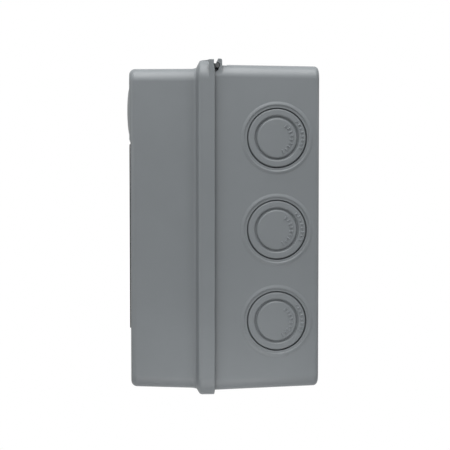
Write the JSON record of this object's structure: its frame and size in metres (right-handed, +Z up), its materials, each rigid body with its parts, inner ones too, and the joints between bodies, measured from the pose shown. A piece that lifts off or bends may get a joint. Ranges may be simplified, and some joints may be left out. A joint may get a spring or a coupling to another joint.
{
  "type": "electrical junction box",
  "caption": "Wall-mounted grey plastic junction box with concentric side knockouts, a deep top-hung cover held by captive screws, and rail terminals inside.",
  "frame": {"origin": "centre of the back face that lies on the wall", "axes": "+Y out of the back into the wall, so the cover faces -Y; +Z up; +X is the side with the knockouts that the picture shows"},
  "size_m": [0.1244, 0.1016, 0.1772],
  "materials": {
    "grey_housing": "fine moulded satin",
    "black_seal": "matt",
    "black_label": "satin",
    "black_nylon": "satin",
    "plated_steel": "zinc plated",
    "brass_insert": "turned",
    "grey_terminal": "moulded",
    "earth_green": "moulded"
  },
  "bodies": {
    "base": {"back_box": "grey_housing", "knockout_disc_left_1": "grey_housing", "knockout_disc_left_2": "grey_housing", "knockout_disc_left_3": "grey_housing", "knockout_disc_right_1": "grey_housing", "knockout_disc_right_2": "grey_housing", "knockout_disc_right_3": "grey_housing", "knockout_ring_left_1": "grey_housing", "knockout_ring_left_2": "grey_housing", "knockout_ring_left_3": "grey_housing", "knockout_ring_right_1": "grey_housing", "knockout_ring_right_2": "grey_housing", "knockout_ring_right_3": "grey_housing", "screw_insert_left": "brass_insert", "screw_insert_right": "brass_insert", "mounting_plate": "plated_steel", "plate_screw_1": "plated_steel", "plate_screw_2": "plated_steel", "plate_screw_3": "plated_steel", "plate_screw_4": "plated_steel", "din_rail": "plated_steel", "rail_screw_left": "plated_steel", "rail_screw_right": "plated_steel", "terminal_block_1": "grey_terminal", "terminal_block_2": "grey_terminal", "terminal_block_3": "grey_terminal", "terminal_block_4": "grey_terminal", "terminal_block_5": "grey_terminal", "terminal_block_6": "grey_terminal", "earth_terminal": "earth_green", "end_stop_left": "grey_terminal", "end_stop_right": "grey_terminal"},
    "cover": {"front_cover": "grey_housing", "cover_gasket": "black_seal", "label_plate": "black_label", "blanking_plug": "grey_housing", "plug_nut": "black_nylon", "plug_seal": "black_seal", "hinge_pin_left": "plated_steel", "hinge_pin_right": "plated_steel"},
    "screw_seal_left": {"screw_seal_left": "black_seal"},
    "cover_screw_left": {"cover_screw_left": "plated_steel"},
    "screw_seal_right": {"screw_seal_right": "black_seal"},
    "cover_screw_right": {"cover_screw_right": "plated_steel"}
  },
  "joints": [
    {"name": "cover_hinge", "type": "hinge", "parent": "base", "child": "cover", "pos_m": [0, -0.0534, 0.085], "axis": [-1, 0, 0], "range_deg": [0, 100]},
    {"name": "screw_travel_left", "type": "slide", "parent": "cover", "child": "screw_seal_left", "axis": [0, -1, 0], "range_m": [0, 0.009]},
    {"name": "screw_turn_left", "type": "hinge", "parent": "screw_seal_left", "child": "cover_screw_left", "pos_m": [-0.05, -0.07, -0.074], "axis": [0, -1, 0], "range_deg": [0, 1800]},
    {"name": "screw_travel_right", "type": "slide", "parent": "cover", "child": "screw_seal_right", "axis": [0, -1, 0], "range_m": [0, 0.009]},
    {"name": "screw_turn_right", "type": "hinge", "parent": "screw_seal_right", "child": "cover_screw_right", "pos_m": [0.05, -0.07, -0.074], "axis": [0, -1, 0], "range_deg": [0, 1800]}
  ],
  "couplings": [
    {"joint": "screw_turn_left", "follows": "screw_travel_left", "rad_per_m": 3490.6},
    {"joint": "screw_turn_right", "follows": "screw_travel_right", "rad_per_m": 3490.6}
  ]
}
